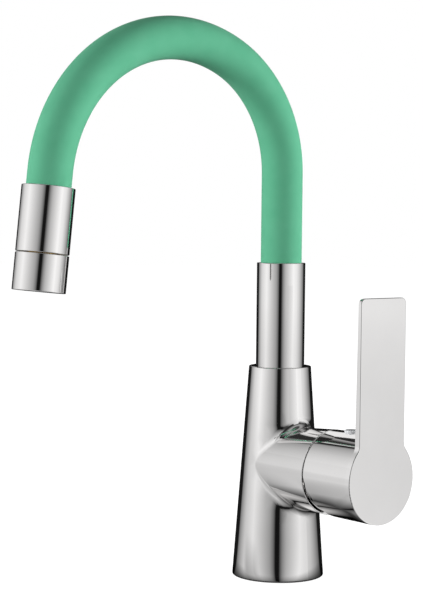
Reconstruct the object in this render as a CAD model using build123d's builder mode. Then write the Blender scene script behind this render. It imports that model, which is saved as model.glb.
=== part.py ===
"""A kitchen faucet with a flexible, colour sheathed spout and a side lever.

Millimetres. The origin is the centre of the round foot on the deck, +Z is up, the spout reaches
towards -Y and the lever stands on the +X side.
"""

import os
from math import cos, pi, radians, sin

from build123d import *

os.makedirs("parts", exist_ok=True)

# Clearances and overrun
fit_gap = 0.15
running_gap = 0.06
slip_gap = 0.3
face_gap = 0.05
overrun = 1.0

# Conical column
base_radius = 25.0
base_edge_round = 0.9
cone_height = 114.8
cone_top_radius = 16.9
cone_top_round = 0.5
cone_wall = 2.8

# Side housing for the cartridge
handle_axis_height = 61.4
housing_root_radius = 20.1
housing_end_radius = 22.7
housing_length = 43.3
housing_end_round = 0.4
housing_blend = 6.0

# Waterways and deck fixings in the casting
waterway_width = 13.0
waterway_wall = 2.0
inlet_spread = 7.0
inlet_thread_radius = 4.5
inlet_thread_depth = 12.0
inlet_way_radius = 3.0
inlet_port_drop = 5.0
outlet_port_rise = 7.0
outlet_way_radius = 3.4
stud_offset = 13.0
stud_thread_radius = 3.4
stud_thread_depth = 14.0
stud_boss_radius = 6.0
stud_boss_height = 16.0
gasket_width = 2.0
gasket_height = 2.6

# Spout swivel
swivel_bore_radius = 10.5
swivel_bore_depth = 24.0
swivel_recess_depth = 6.8
swivel_stem_rise = 1.5
bush_height = 1.0
bush_width = 2.7
seal_wire_radius = 0.78
seal_drops = (18.0, 12.5)
retaining_drop = 7.0
retaining_groove_depth = 1.5
retaining_groove_half_height = 1.8
retaining_thread_radius = 2.5
retaining_dog_radius = 1.4
retaining_dog_length = 1.6
retaining_screw_set_back = 0.5
nipple_shoulder_height = 5.0
spigot_radius = 3.5
spigot_bore_radius = 2.4
spigot_length = 15.0
hex_key_radius = 1.4
hex_key_depth = 2.4

# Column sleeve
sleeve_radius = 13.2
sleeve_wall = 1.2
sleeve_show = 56.25
sleeve_lip_height = 2.0
sleeve_lip_gap = 0.36
sleeve_round = 0.4

# Flexible hose
sheath_radius = 11.14
sheath_wall = 1.9
water_hose_radius = 5.5
water_hose_wall = 1.95
ferrule_radius = 11.5
ferrule_length = 15.0
ferrule_lead = 0.6
ring_wire_radius = 1.4
ring_pitch = 5.0

# Route of the hose
free_rise = 48.35
shoulder_radius = 66.7
shoulder_turn = 64.0
crown_radius = 79.6
crown_turn = 109.8
tail_length = 7.0
lean_start = 9.95
lean_spacing = 12.0
lean_joint_count = 3
bend_joint_count = 6

# Spray head
head_radius = 13.23
head_wall = 1.2
head_sleeve_length = 32.5
head_seam = 0.5
head_round = 0.35
sheath_entry = 8.0
coupling_disc_height = 9.0
coupling_stub_radius = 8.0
coupling_stub_length = 10.6
coupling_bore_radius = 4.0
coupling_seal_radius = 0.6
coupling_seal_share = 0.5
clip_height = 0.9
clip_width = 0.9
clip_groove_depth = 0.8
clip_end_land = 1.3
collar_length = 18.4
collar_wall = 1.3
collar_top_height = 1.5
collar_lip_height = 1.4
collar_lip_width = 2.7
aerator_wall = 1.5
aerator_seal_height = 0.5
straightener_height = 1.6
straightener_hole_radius = 0.8
straightener_pitch = 2.6
straightener_rings = 3
straightener_inner_count = 6
spray_disc_height = 2.4
spray_disc_rise = 0.4
nozzle_radius = 0.55
nozzle_circle_radii = (3.2, 6.2, 8.4)
nozzle_counts = (6, 12, 18)

# Cartridge, measured along the lever axis from the faucet axis
seat_distance = 12.0
seat_plate_thickness = 4.0
cartridge_radius = 17.3
cup_wall = 2.0
cup_length = 10.0
port_seal_radius = 4.6
port_seal_bore_radius = 3.2
port_seal_height = 1.0
cartridge_base_height = 5.0
locating_pin_radius = 1.6
locating_pin_length = 1.8
locating_pin_spread = 12.5
fixed_disc_height = 3.6
cartridge_bore_radius = 14.9
cartridge_top = 40.0
cartridge_top_thickness = 3.5
turret_neck_radius = 11.0
turret_floor = 29.0
turret_top = 42.5
turret_seal_distance = 38.3
turret_seal_radius = 0.6
turret_slot_half_height = 7.0
turret_slot_half_width = 3.8
moving_disc_radius = 11.2
moving_disc_height = 3.6
moving_disc_drop = 1.4
mixing_pocket_length = 15.0
mixing_pocket_width = 9.0
mixing_pocket_depth = 2.0
carrier_top = 28.4
stem_pivot_distance = 35.0
stem_pin_radius = 1.5
stem_pin_half_length = 12.0
stem_foot_distance = 27.0
stem_foot_radius = 2.4
stem_neck_radius = 1.8
stem_neck_length = 3.5
stem_radius = 3.4
stem_square = 9.0
stem_square_start = 46.0
stem_top = 64.0
nut_radius = 19.0
nut_bore_radius = 12.5
nut_height = 5.0
nut_slot_count = 6
nut_slot_width = 3.0
nut_slot_depth = 2.0
dome_sphere_radius = 22.6
dome_top = 48.5
dome_bore_radius = 15.0

# Lever handle
hub_start = 44.3
hub_start_radius = 22.7
hub_end_radius = 23.1
hub_wall = 1.4
hub_face = 79.2
hub_face_thickness = 4.0
hub_relief = 7.6
hub_boss_radius = 7.5
hub_boss_start = 51.0
tongue_top = 155.0
tongue_half_width = 16.1
tongue_root_thickness = 3.3
tongue_tip_thickness = 2.0
tongue_corner_radius = 3.0
tongue_root_radius = 5.0
face_edge_round = 0.5
button_distance = 57.0
button_radius = 4.0
button_proud = 1.2
button_sink = 0.9
button_edge_round = 0.5
button_plug_radius = 3.0
button_plug_length = 2.6
set_screw_radius = 2.0
set_screw_length = 4.0

# Sizes that follow from those above
cone_slope = (base_radius - cone_top_radius) / cone_height
swivel_ledge_height = cone_height - swivel_recess_depth
swivel_bore_floor = swivel_ledge_height - swivel_bore_depth
seal_heights = [swivel_ledge_height - drop for drop in seal_drops]
retaining_height = swivel_ledge_height - retaining_drop
sleeve_top = cone_height + sleeve_show
rise_top = sleeve_top + free_rise
shoulder_length = shoulder_radius * radians(shoulder_turn)
crown_length = crown_radius * radians(crown_turn)
bend_length = shoulder_length + crown_length
spout_length = bend_length + tail_length
sheath_bore_radius = sheath_radius - sheath_wall
ring_radius = sheath_bore_radius - slip_gap - ring_wire_radius
shoulder_bottom = swivel_ledge_height + bush_height + face_gap
ferrule_bottom = shoulder_bottom + nipple_shoulder_height
ferrule_top = ferrule_bottom + ferrule_length
head_ferrule_start = sheath_entry + face_gap
head_coupling_start = head_ferrule_start + ferrule_length
collar_start = head_sleeve_length + head_seam
collar_end = collar_start + collar_length
inlet_places = ((-inlet_spread, -inlet_port_drop), (inlet_spread, -inlet_port_drop))
port_places = (*inlet_places, (0, outlet_port_rise))

side_plane = Plane(origin=(0, 0, handle_axis_height), x_dir=(0, 1, 0), z_dir=(1, 0, 0))
side_axis = Axis((0, 0, handle_axis_height), (1, 0, 0))


def cone_radius_at(height):
    """Outer radius of the column at a height."""
    return base_radius - cone_slope * height


def route_point(run):
    """Point on the hose centreline, a run past the top of its straight rise."""
    shoulder = min(max(run, 0), shoulder_length) / shoulder_radius
    crown = min(max(run - shoulder_length, 0), crown_length) / crown_radius
    tail = max(run - bend_length, 0)
    turn = shoulder + crown
    reach = shoulder_radius * (1 - cos(shoulder)) + crown_radius * (cos(shoulder) - cos(turn))
    climb = shoulder_radius * sin(shoulder) + crown_radius * (sin(turn) - sin(shoulder))
    return (0, -reach - tail * sin(turn), rise_top + min(run, 0) + climb + tail * cos(turn))


def route_direction(run):
    """Direction of the hose centreline at a run."""
    shoulder = min(max(run, 0), shoulder_length) / shoulder_radius
    crown = min(max(run - shoulder_length, 0), crown_length) / crown_radius
    return (0, -sin(shoulder + crown), cos(shoulder + crown))


def route_plane(run):
    """Plane square to the hose at a run."""
    return Plane(origin=route_point(run), x_dir=(1, 0, 0), z_dir=route_direction(run))


head_plane = route_plane(spout_length)


def head_offset(distance):
    """Plane square to the spray head, a distance below its top edge."""
    return head_plane.offset(distance)


def route_line(bottom, end_run):
    """Centreline from a height in the column to a run past the end of the crown."""
    rise = Line((0, 0, bottom), route_point(0))
    shoulder = TangentArc(rise @ 1, route_point(shoulder_length), tangent=rise % 1)
    crown = TangentArc(shoulder @ 1, route_point(bend_length), tangent=shoulder % 1)
    Line(crown @ 1, route_point(bend_length + end_run))


def annulus(outer, inner):
    """Ring shaped face in the open sketch."""
    Circle(outer)
    Circle(inner, mode=Mode.SUBTRACT)


# Column casting: cone, side housing and the waterways inside
with BuildPart() as faucet_body:
    with BuildSketch(Plane.XZ):
        with BuildLine():
            Polyline((0, 0), (base_radius, 0), (cone_top_radius, cone_height), (0, cone_height), close=True)
        make_face()
    revolve(axis=Axis.Z)
    base_edge = faucet_body.edges().filter_by(GeomType.CIRCLE).sort_by(Axis.Z)[0]
    top_edge = faucet_body.edges().filter_by(GeomType.CIRCLE).sort_by(Axis.Z)[-1]
    fillet(base_edge, base_edge_round)
    fillet(top_edge, cone_top_round)
    with BuildSketch(Plane.XZ):
        with BuildLine():
            Polyline(
                (0, handle_axis_height),
                (0, handle_axis_height + housing_root_radius),
                (housing_length, handle_axis_height + housing_end_radius),
                (housing_length, handle_axis_height),
                close=True,
            )
        make_face()
    revolve(axis=side_axis)
    end_edge = faucet_body.edges().filter_by(GeomType.CIRCLE).sort_by(Axis.X)[-1]
    fillet(end_edge, housing_end_round)
    blend_edges = faucet_body.edges().filter_by(GeomType.BSPLINE)
    fillet(blend_edges, housing_blend)
    with BuildSketch(Plane.XZ):
        with BuildLine():
            Polyline(
                (0, -overrun),
                (base_radius - cone_wall, -overrun),
                (base_radius - cone_wall, 0),
                (cone_radius_at(swivel_bore_floor) - cone_wall, swivel_bore_floor),
                (0, swivel_bore_floor),
                close=True,
            )
        make_face()
    revolve(axis=Axis.Z, mode=Mode.SUBTRACT)
    with BuildSketch(Plane.XY):
        SlotOverall(2 * (inlet_spread + inlet_thread_radius + waterway_wall), waterway_width, rotation=90)
    extrude(amount=swivel_bore_floor)
    with BuildSketch(Plane.XY):
        with Locations((-stud_offset / 2, 0)):
            SlotCenterToCenter(stud_offset, 2 * stud_boss_radius)
    extrude(amount=stud_boss_height)
    with BuildSketch(side_plane.offset(seat_distance - seat_plate_thickness)):
        Circle(cartridge_radius + fit_gap + cup_wall)
    extrude(amount=seat_plate_thickness + cup_length)
    with BuildSketch(side_plane.offset(seat_distance)):
        Circle(cartridge_radius + fit_gap)
    extrude(amount=housing_length - seat_distance + overrun, mode=Mode.SUBTRACT)
    with BuildSketch(side_plane.offset(cartridge_top)):
        Circle(nut_radius + fit_gap)
    extrude(amount=housing_length - cartridge_top + overrun, mode=Mode.SUBTRACT)
    with BuildSketch(Plane.XY.offset(swivel_bore_floor)):
        Circle(swivel_bore_radius)
    extrude(amount=cone_height - swivel_bore_floor + overrun, mode=Mode.SUBTRACT)
    with BuildSketch(Plane.XY.offset(swivel_ledge_height)):
        Circle(sleeve_radius + slip_gap)
    extrude(amount=cone_height - swivel_ledge_height + overrun, mode=Mode.SUBTRACT)
    with BuildSketch(Plane.XY):
        with Locations((0, -inlet_spread), (0, inlet_spread)):
            Circle(inlet_thread_radius)
    extrude(amount=inlet_thread_depth, mode=Mode.SUBTRACT)
    with BuildSketch(Plane.XY):
        with Locations((0, -inlet_spread), (0, inlet_spread)):
            Circle(inlet_way_radius)
    extrude(amount=handle_axis_height - inlet_port_drop, mode=Mode.SUBTRACT)
    with BuildSketch(side_plane):
        with Locations(*inlet_places):
            Circle(inlet_way_radius)
    extrude(amount=seat_distance, mode=Mode.SUBTRACT)
    with BuildSketch(side_plane):
        with Locations((0, outlet_port_rise)):
            Circle(outlet_way_radius)
    extrude(amount=seat_distance, mode=Mode.SUBTRACT)
    with BuildSketch(Plane.XY.offset(handle_axis_height + outlet_port_rise)):
        Circle(outlet_way_radius)
    extrude(amount=swivel_bore_floor - handle_axis_height - outlet_port_rise, mode=Mode.SUBTRACT)
    with BuildSketch(side_plane.offset(seat_distance)):
        with Locations((-locating_pin_spread, 0), (locating_pin_spread, 0)):
            Circle(locating_pin_radius + fit_gap)
    extrude(amount=-(locating_pin_length + slip_gap), mode=Mode.SUBTRACT)
    with BuildSketch(Plane.XY):
        with Locations((-stud_offset, 0)):
            Circle(stud_thread_radius)
    extrude(amount=stud_thread_depth, mode=Mode.SUBTRACT)
    with BuildSketch(Plane.XZ):
        with Locations((0, retaining_height)):
            Circle(retaining_thread_radius)
    extrude(amount=-base_radius, mode=Mode.SUBTRACT)
faucet_body.part.label = "faucet_body"
export_step(faucet_body.part, "parts/faucet_body.step")

# Rubber ring that seals the foot to the deck
gasket_radius = cone_radius_at(gasket_height) - cone_wall - fit_gap
with BuildPart() as base_gasket:
    with BuildSketch(Plane.XY):
        annulus(gasket_radius, gasket_radius - gasket_width)
    extrude(amount=gasket_height)
base_gasket.part.label = "base_gasket"
export_step(base_gasket.part, "parts/base_gasket.step")

# Grub screw at the back whose dog runs in the groove of the swivel nipple
retaining_dog_start = swivel_bore_radius - retaining_groove_depth + fit_gap
retaining_screw_start = retaining_dog_start + retaining_dog_length
retaining_screw_end = cone_radius_at(retaining_height) - retaining_screw_set_back
with BuildPart() as spout_retaining_screw:
    with BuildSketch(Plane.XZ.offset(-retaining_dog_start)):
        with Locations((0, retaining_height)):
            Circle(retaining_dog_radius)
    extrude(amount=-retaining_dog_length)
    with BuildSketch(Plane.XZ.offset(-retaining_screw_start)):
        with Locations((0, retaining_height)):
            Circle(retaining_thread_radius - running_gap)
    extrude(amount=-(retaining_screw_end - retaining_screw_start))
    with BuildSketch(Plane.XZ.offset(-retaining_screw_end)):
        with Locations((0, retaining_height)):
            RegularPolygon(hex_key_radius, side_count=6)
    extrude(amount=hex_key_depth, mode=Mode.SUBTRACT)
spout_retaining_screw.part.label = "spout_retaining_screw"
export_step(spout_retaining_screw.part, "parts/spout_retaining_screw.step")

# Slip ring under the turning spout
with BuildPart() as swivel_bush:
    with BuildSketch(Plane.XY.offset(swivel_ledge_height)):
        annulus(swivel_bore_radius + bush_width, swivel_bore_radius + fit_gap)
    extrude(amount=bush_height)
swivel_bush.part.label = "swivel_bush"
export_step(swivel_bush.part, "parts/swivel_bush.step")

# Brass nipple that turns in the casting and carries the spout
swivel_stem_radius = swivel_bore_radius - running_gap
swivel_stem_bottom = swivel_bore_floor + swivel_stem_rise
seal_groove_radius = swivel_stem_radius - 2 * seal_wire_radius
sleeve_bore_radius = sleeve_radius - sleeve_wall
with BuildPart() as swivel_nipple:
    with BuildSketch(Plane.XY.offset(swivel_stem_bottom)):
        Circle(swivel_stem_radius)
    extrude(amount=shoulder_bottom - swivel_stem_bottom)
    with BuildSketch(Plane.XY.offset(shoulder_bottom)):
        Circle(sleeve_bore_radius - fit_gap)
    extrude(amount=nipple_shoulder_height)
    with BuildSketch(Plane.XY.offset(ferrule_bottom)):
        Circle(spigot_radius)
    extrude(amount=spigot_length)
    for seal_height in seal_heights:
        with BuildSketch(Plane.XY.offset(seal_height - seal_wire_radius - face_gap)):
            annulus(swivel_bore_radius, seal_groove_radius - face_gap)
        extrude(amount=2 * (seal_wire_radius + face_gap), mode=Mode.SUBTRACT)
    with BuildSketch(Plane.XY.offset(retaining_height - retaining_groove_half_height)):
        annulus(swivel_bore_radius, swivel_bore_radius - retaining_groove_depth - slip_gap)
    extrude(amount=2 * retaining_groove_half_height, mode=Mode.SUBTRACT)
    with BuildSketch(Plane.XY.offset(swivel_stem_bottom)):
        Circle(outlet_way_radius)
    extrude(amount=shoulder_bottom - swivel_stem_bottom, mode=Mode.SUBTRACT)
    with BuildSketch(Plane.XY.offset(shoulder_bottom)):
        Circle(spigot_bore_radius)
    extrude(amount=nipple_shoulder_height + spigot_length, mode=Mode.SUBTRACT)
swivel_nipple.part.label = "swivel_nipple"
export_step(swivel_nipple.part, "parts/swivel_nipple.step")

# Pair of seals in the grooves of the nipple
with BuildPart() as swivel_seals:
    for seal_height in seal_heights:
        with Locations((0, 0, seal_height)):
            Torus(swivel_stem_radius - seal_wire_radius, seal_wire_radius)
swivel_seals.part.label = "swivel_seals"
export_step(swivel_seals.part, "parts/swivel_seals.step")

# Chromed tube on top of the cone
with BuildPart() as column_sleeve:
    with BuildSketch(Plane.XY.offset(shoulder_bottom)):
        Circle(sleeve_radius)
    extrude(amount=sleeve_top - shoulder_bottom)
    fillet(column_sleeve.edges().sort_by(Axis.Z)[-1], sleeve_round)
    with BuildSketch(Plane.XY.offset(shoulder_bottom)):
        Circle(sleeve_bore_radius)
    extrude(amount=sleeve_top - sleeve_lip_height - shoulder_bottom, mode=Mode.SUBTRACT)
    with BuildSketch(Plane.XY.offset(shoulder_bottom)):
        Circle(sheath_radius + sleeve_lip_gap)
    extrude(amount=sleeve_top - shoulder_bottom, mode=Mode.SUBTRACT)
column_sleeve.part.label = "column_sleeve"
export_step(column_sleeve.part, "parts/column_sleeve.step")

# Steel ferrules that clamp the hose at both ends
with BuildPart() as lower_ferrule:
    with BuildSketch(Plane.XY.offset(ferrule_bottom)):
        annulus(ferrule_radius, water_hose_radius + fit_gap)
    extrude(amount=ferrule_length)
lower_ferrule.part.label = "lower_ferrule"
export_step(lower_ferrule.part, "parts/lower_ferrule.step")

with BuildPart() as upper_ferrule:
    with BuildSketch(head_offset(head_ferrule_start)):
        annulus(ferrule_radius, water_hose_radius + fit_gap)
    extrude(amount=ferrule_length)
upper_ferrule.part.label = "upper_ferrule"
export_step(upper_ferrule.part, "parts/upper_ferrule.step")

# Silicone sheath, one tube from ferrule to ferrule
with BuildPart() as hose_sheath:
    with BuildLine():
        route_line(ferrule_top, tail_length + sheath_entry)
    with BuildSketch(Plane.XY.offset(ferrule_top)):
        annulus(sheath_radius, sheath_bore_radius)
    sweep()
hose_sheath.part.label = "hose_sheath"
export_step(hose_sheath.part, "parts/hose_sheath.step")

# Water hose inside the steel rings
water_hose_start = ferrule_bottom + ferrule_lead
water_hose_end_run = tail_length + head_coupling_start - ferrule_lead
with BuildPart() as water_hose:
    with BuildLine():
        route_line(water_hose_start, water_hose_end_run)
    with BuildSketch(Plane.XY.offset(water_hose_start)):
        annulus(water_hose_radius, water_hose_radius - water_hose_wall)
    sweep()
water_hose.part.label = "water_hose"
export_step(water_hose.part, "parts/water_hose.step")

# Steel rings that hold the bend, one group for each length between two hinge points
bend_spacing = spout_length / bend_joint_count
first_run = ferrule_top - rise_top
lean_runs = [lean_start + lean_spacing * index - free_rise for index in range(lean_joint_count)]
bend_runs = [bend_spacing * index + bend_spacing / 2 for index in range(bend_joint_count)]
last_run = spout_length + sheath_entry
hinge_runs = [first_run, *lean_runs, *bend_runs, last_run]
group_names = ["gooseneck_base"]
group_names += [f"gooseneck_lean_{index + 1}" for index in range(len(lean_runs))]
group_names += [f"gooseneck_arch_{index + 1}" for index in range(bend_joint_count - 1)]
group_names += ["gooseneck_head"]
for name, start_run, end_run in zip(group_names, hinge_runs, hinge_runs[1:]):
    ring_count = max(1, round((end_run - start_run) / ring_pitch))
    ring_spacing = (end_run - start_run) / ring_count
    with BuildPart() as ring_group:
        for index in range(ring_count):
            with Locations(route_plane(start_run + ring_spacing * index + ring_spacing / 2).location):
                Torus(ring_radius, ring_wire_radius)
    ring_group.part.label = name
    export_step(ring_group.part, f"parts/{name}.step")

# Chromed sleeve of the spray head
head_bore_radius = head_radius - head_wall
with BuildPart() as head_sleeve:
    with BuildSketch(head_plane):
        Circle(head_radius)
    extrude(amount=head_sleeve_length)
    fillet(head_sleeve.edges().filter_by(GeomType.CIRCLE), head_round)
    with BuildSketch(head_plane):
        Circle(sheath_radius + sleeve_lip_gap)
    extrude(amount=head_sleeve_length, mode=Mode.SUBTRACT)
    with BuildSketch(head_offset(sleeve_lip_height)):
        Circle(head_bore_radius)
    extrude(amount=head_sleeve_length - sleeve_lip_height, mode=Mode.SUBTRACT)
head_sleeve.part.label = "head_sleeve"
export_step(head_sleeve.part, "parts/head_sleeve.step")

# Brass coupling: spigot in the water hose, disc in the sleeve, stub for the turning collar
coupling_stub_start = head_coupling_start + coupling_disc_height
coupling_end = coupling_stub_start + coupling_stub_length
coupling_seal_start = coupling_stub_start + coupling_stub_length * coupling_seal_share
clip_start = coupling_end - clip_end_land - clip_height
with BuildPart() as head_coupling:
    with BuildSketch(head_offset(head_coupling_start - spigot_length)):
        Circle(spigot_radius)
    extrude(amount=spigot_length)
    with BuildSketch(head_offset(head_coupling_start)):
        Circle(head_bore_radius - fit_gap)
    extrude(amount=coupling_disc_height)
    with BuildSketch(head_offset(coupling_stub_start)):
        Circle(coupling_stub_radius)
    extrude(amount=coupling_stub_length)
    with BuildSketch(head_offset(coupling_seal_start - coupling_seal_radius - face_gap)):
        annulus(head_bore_radius, coupling_stub_radius - 2 * coupling_seal_radius - face_gap)
    extrude(amount=2 * (coupling_seal_radius + face_gap), mode=Mode.SUBTRACT)
    with BuildSketch(head_offset(clip_start - face_gap)):
        annulus(head_bore_radius, coupling_stub_radius - clip_groove_depth)
    extrude(amount=clip_height + 2 * face_gap, mode=Mode.SUBTRACT)
    with BuildSketch(head_offset(head_coupling_start - spigot_length)):
        Circle(spigot_bore_radius)
    extrude(amount=spigot_length + coupling_disc_height, mode=Mode.SUBTRACT)
    with BuildSketch(head_offset(coupling_stub_start)):
        Circle(coupling_bore_radius)
    extrude(amount=coupling_stub_length, mode=Mode.SUBTRACT)
head_coupling.part.label = "head_coupling"
export_step(head_coupling.part, "parts/head_coupling.step")

with BuildPart() as coupling_seal:
    with Locations(head_offset(coupling_seal_start).location):
        Torus(coupling_stub_radius - coupling_seal_radius, coupling_seal_radius)
coupling_seal.part.label = "coupling_seal"
export_step(coupling_seal.part, "parts/coupling_seal.step")

with BuildPart() as collar_clip:
    with BuildSketch(head_offset(clip_start)):
        annulus(coupling_stub_radius + clip_width, coupling_stub_radius - clip_groove_depth + face_gap)
        with Locations((0, coupling_stub_radius)):
            Rectangle(coupling_stub_radius, 2 * coupling_stub_radius, mode=Mode.SUBTRACT)
    extrude(amount=clip_height)
collar_clip.part.label = "collar_clip"
export_step(collar_clip.part, "parts/collar_clip.step")

# Turning collar with the aerator inside
collar_bore_radius = head_radius - collar_wall
with BuildPart() as selector_collar:
    with BuildSketch(head_offset(collar_start)):
        Circle(head_radius)
    extrude(amount=collar_length)
    fillet(selector_collar.edges().filter_by(GeomType.CIRCLE), head_round)
    with BuildSketch(head_offset(collar_start)):
        Circle(coupling_stub_radius + slip_gap)
    extrude(amount=collar_top_height, mode=Mode.SUBTRACT)
    with BuildSketch(head_offset(collar_start + collar_top_height)):
        Circle(collar_bore_radius)
    extrude(amount=collar_length - collar_top_height - collar_lip_height, mode=Mode.SUBTRACT)
    with BuildSketch(head_offset(collar_end - collar_lip_height)):
        Circle(head_radius - collar_lip_width)
    extrude(amount=collar_lip_height, mode=Mode.SUBTRACT)
selector_collar.part.label = "selector_collar"
export_step(selector_collar.part, "parts/selector_collar.step")

aerator_radius = collar_bore_radius - fit_gap
aerator_bore_radius = aerator_radius - aerator_wall
aerator_start = collar_start + collar_top_height
aerator_end = collar_end - collar_lip_height - aerator_seal_height
shelf_end = clip_start - face_gap
with BuildPart() as aerator_body:
    with BuildSketch(head_offset(aerator_start)):
        annulus(aerator_radius, coupling_stub_radius + running_gap)
    extrude(amount=shelf_end - aerator_start)
    with BuildSketch(head_offset(shelf_end)):
        annulus(aerator_radius, aerator_bore_radius)
    extrude(amount=aerator_end - shelf_end)
aerator_body.part.label = "aerator_body"
export_step(aerator_body.part, "parts/aerator_body.step")

with BuildPart() as aerator_seal:
    with BuildSketch(head_offset(aerator_end)):
        annulus(aerator_radius, head_radius - collar_lip_width)
    extrude(amount=aerator_seal_height)
aerator_seal.part.label = "aerator_seal"
export_step(aerator_seal.part, "parts/aerator_seal.step")

spray_disc_start = aerator_end + aerator_seal_height - spray_disc_height - spray_disc_rise
straightener_start = (coupling_end + spray_disc_start - straightener_height) / 2
with BuildPart() as flow_straightener:
    with BuildSketch(head_offset(straightener_start)):
        Circle(aerator_bore_radius - fit_gap)
        for ring in range(1, straightener_rings + 1):
            with PolarLocations(straightener_pitch * ring, straightener_inner_count * ring):
                Circle(straightener_hole_radius, mode=Mode.SUBTRACT)
    extrude(amount=straightener_height)
flow_straightener.part.label = "flow_straightener"
export_step(flow_straightener.part, "parts/flow_straightener.step")

with BuildPart() as spray_disc:
    with BuildSketch(head_offset(spray_disc_start)):
        Circle(aerator_bore_radius - fit_gap)
        for circle_radius, count in zip(nozzle_circle_radii, nozzle_counts):
            with PolarLocations(circle_radius, count):
                Circle(nozzle_radius, mode=Mode.SUBTRACT)
    extrude(amount=spray_disc_height)
spray_disc.part.label = "spray_disc"
export_step(spray_disc.part, "parts/spray_disc.step")

# Ceramic cartridge
base_plate_start = seat_distance + face_gap
fixed_disc_start = base_plate_start + cartridge_base_height
moving_disc_start = fixed_disc_start + fixed_disc_height + face_gap
carrier_start = moving_disc_start + moving_disc_height
with BuildPart() as cartridge_base:
    with BuildSketch(side_plane.offset(base_plate_start)):
        Circle(cartridge_radius)
    extrude(amount=cartridge_base_height)
    with BuildSketch(side_plane.offset(base_plate_start)):
        with Locations((-locating_pin_spread, 0), (locating_pin_spread, 0)):
            Circle(locating_pin_radius)
    extrude(amount=-locating_pin_length)
    with BuildSketch(side_plane.offset(base_plate_start)):
        with Locations(*port_places):
            Circle(inlet_way_radius)
    extrude(amount=cartridge_base_height, mode=Mode.SUBTRACT)
    with BuildSketch(side_plane.offset(base_plate_start)):
        with Locations(*port_places):
            Circle(port_seal_radius + face_gap)
    extrude(amount=port_seal_height, mode=Mode.SUBTRACT)
cartridge_base.part.label = "cartridge_base"
export_step(cartridge_base.part, "parts/cartridge_base.step")

with BuildPart() as port_seals:
    with BuildSketch(side_plane.offset(seat_distance + face_gap)):
        with Locations(*port_places):
            Circle(port_seal_radius)
        with Locations(*port_places):
            Circle(port_seal_bore_radius, mode=Mode.SUBTRACT)
    extrude(amount=port_seal_height)
port_seals.part.label = "port_seals"
export_step(port_seals.part, "parts/port_seals.step")

with BuildPart() as fixed_disc:
    with BuildSketch(side_plane.offset(fixed_disc_start)):
        Circle(cartridge_bore_radius - fit_gap)
        with Locations(*port_places):
            Circle(inlet_way_radius, mode=Mode.SUBTRACT)
    extrude(amount=fixed_disc_height)
fixed_disc.part.label = "fixed_disc"
export_step(fixed_disc.part, "parts/fixed_disc.step")

with BuildPart() as cartridge_housing:
    with BuildSketch(side_plane.offset(fixed_disc_start)):
        Circle(cartridge_radius)
    extrude(amount=cartridge_top - fixed_disc_start)
    with BuildSketch(side_plane.offset(fixed_disc_start)):
        Circle(cartridge_bore_radius)
    extrude(amount=cartridge_top - cartridge_top_thickness - fixed_disc_start, mode=Mode.SUBTRACT)
    with BuildSketch(side_plane.offset(fixed_disc_start)):
        Circle(turret_neck_radius + running_gap)
    extrude(amount=cartridge_top - fixed_disc_start, mode=Mode.SUBTRACT)
cartridge_housing.part.label = "cartridge_housing"
export_step(cartridge_housing.part, "parts/cartridge_housing.step")

with BuildPart() as moving_disc:
    with BuildSketch(side_plane.offset(moving_disc_start)):
        with Locations((0, -moving_disc_drop)):
            Circle(moving_disc_radius)
    extrude(amount=moving_disc_height)
    with BuildSketch(side_plane.offset(moving_disc_start)):
        with Locations((0, -moving_disc_drop)):
            SlotOverall(mixing_pocket_length, mixing_pocket_width)
    extrude(amount=mixing_pocket_depth, mode=Mode.SUBTRACT)
moving_disc.part.label = "moving_disc"
export_step(moving_disc.part, "parts/moving_disc.step")

with BuildPart() as disc_carrier:
    with BuildSketch(side_plane.offset(carrier_start)):
        with Locations((0, -moving_disc_drop)):
            Circle(moving_disc_radius)
        Circle(stem_foot_radius + fit_gap, mode=Mode.SUBTRACT)
    extrude(amount=carrier_top - carrier_start)
disc_carrier.part.label = "disc_carrier"
export_step(disc_carrier.part, "parts/disc_carrier.step")

turret_flange_top = cartridge_top - cartridge_top_thickness - slip_gap
with BuildPart() as cartridge_turret:
    with BuildSketch(side_plane.offset(turret_floor)):
        Circle(cartridge_bore_radius - slip_gap)
    extrude(amount=turret_flange_top - turret_floor)
    with BuildSketch(side_plane.offset(turret_flange_top)):
        Circle(turret_neck_radius)
    extrude(amount=turret_top - turret_flange_top)
    with BuildSketch(side_plane.offset(turret_seal_distance - turret_seal_radius - face_gap)):
        annulus(cartridge_radius, turret_neck_radius - 2 * turret_seal_radius - face_gap)
    extrude(amount=2 * (turret_seal_radius + face_gap), mode=Mode.SUBTRACT)
    with BuildSketch(side_plane.offset(turret_floor)):
        Rectangle(2 * turret_slot_half_width, 2 * turret_slot_half_height)
    extrude(amount=turret_top - turret_floor, mode=Mode.SUBTRACT)
    with BuildSketch(Plane.XZ.offset(-stem_pin_half_length)):
        with Locations((stem_pivot_distance, handle_axis_height)):
            Circle(stem_pin_radius + running_gap)
    extrude(amount=2 * stem_pin_half_length, mode=Mode.SUBTRACT)
cartridge_turret.part.label = "cartridge_turret"
export_step(cartridge_turret.part, "parts/cartridge_turret.step")

with BuildPart() as turret_seal:
    with Locations(side_plane.offset(turret_seal_distance).location):
        Torus(turret_neck_radius - turret_seal_radius, turret_seal_radius)
turret_seal.part.label = "turret_seal"
export_step(turret_seal.part, "parts/turret_seal.step")

with BuildPart() as stem_pin:
    with BuildSketch(Plane.XZ.offset(-stem_pin_half_length)):
        with Locations((stem_pivot_distance, handle_axis_height)):
            Circle(stem_pin_radius)
    extrude(amount=2 * stem_pin_half_length)
stem_pin.part.label = "stem_pin"
export_step(stem_pin.part, "parts/stem_pin.step")

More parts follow.
